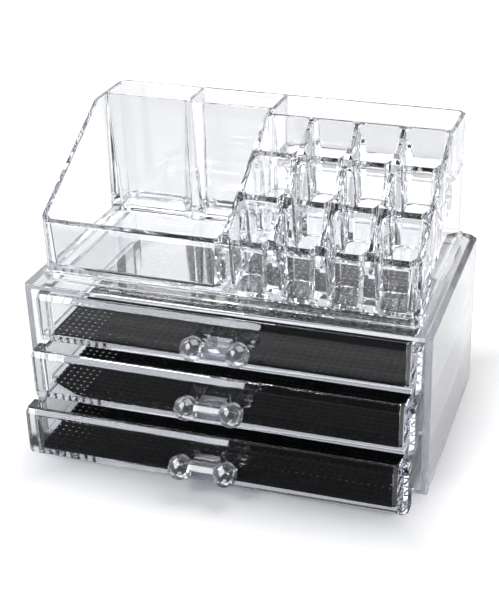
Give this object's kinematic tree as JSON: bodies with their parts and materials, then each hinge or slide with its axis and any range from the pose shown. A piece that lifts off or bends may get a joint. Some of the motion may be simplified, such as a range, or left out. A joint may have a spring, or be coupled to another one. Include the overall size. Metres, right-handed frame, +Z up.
{
  "type": "makeup organizer",
  "caption": "Clear acrylic makeup organizer: a low open-front cabinet of shallow sliding drawers with dumbbell handles and net mats, under a sloped tray of compartments and lipstick cells.",
  "frame": {"origin": "the middle of the cabinet's underside, on the surface that it stands on", "axes": "+X to the right seen from the front, the drawers' fronts face -Y, +Z up"},
  "size_m": [0.238, 0.1796, 0.1823],
  "materials": {
    "clear_acrylic": "polished clear polystyrene or acrylic, see-through",
    "handle_acrylic": "polished clear acrylic with flat facets",
    "net_mat": "matt black foamed net"
  },
  "bodies": {
    "cabinet": {"cabinet_shell": "clear_acrylic"},
    "bottom_drawer": {"drawer_bottom": "clear_acrylic", "handle_bottom": "handle_acrylic", "mat_bottom": "net_mat"},
    "middle_drawer": {"drawer_middle": "clear_acrylic", "handle_middle": "handle_acrylic", "mat_middle": "net_mat"},
    "top_drawer": {"drawer_top": "clear_acrylic", "handle_top": "handle_acrylic", "mat_top": "net_mat"},
    "tray": {"cosmetic_tray": "clear_acrylic"}
  },
  "joints": [
    {"name": "bottom_drawer_slide", "type": "slide", "parent": "cabinet", "child": "bottom_drawer", "axis": [0, -1, 0], "range_m": [-0.0257, 0.0743]},
    {"name": "middle_drawer_slide", "type": "slide", "parent": "cabinet", "child": "middle_drawer", "axis": [0, -1, 0], "range_m": [-0.013, 0.087]},
    {"name": "top_drawer_slide", "type": "slide", "parent": "cabinet", "child": "top_drawer", "axis": [0, -1, 0], "range_m": [0, 0.1]},
    {"name": "tray_lift", "type": "slide", "parent": "cabinet", "child": "tray", "axis": [0, 0, 1], "range_m": [0, 0.12]}
  ]
}
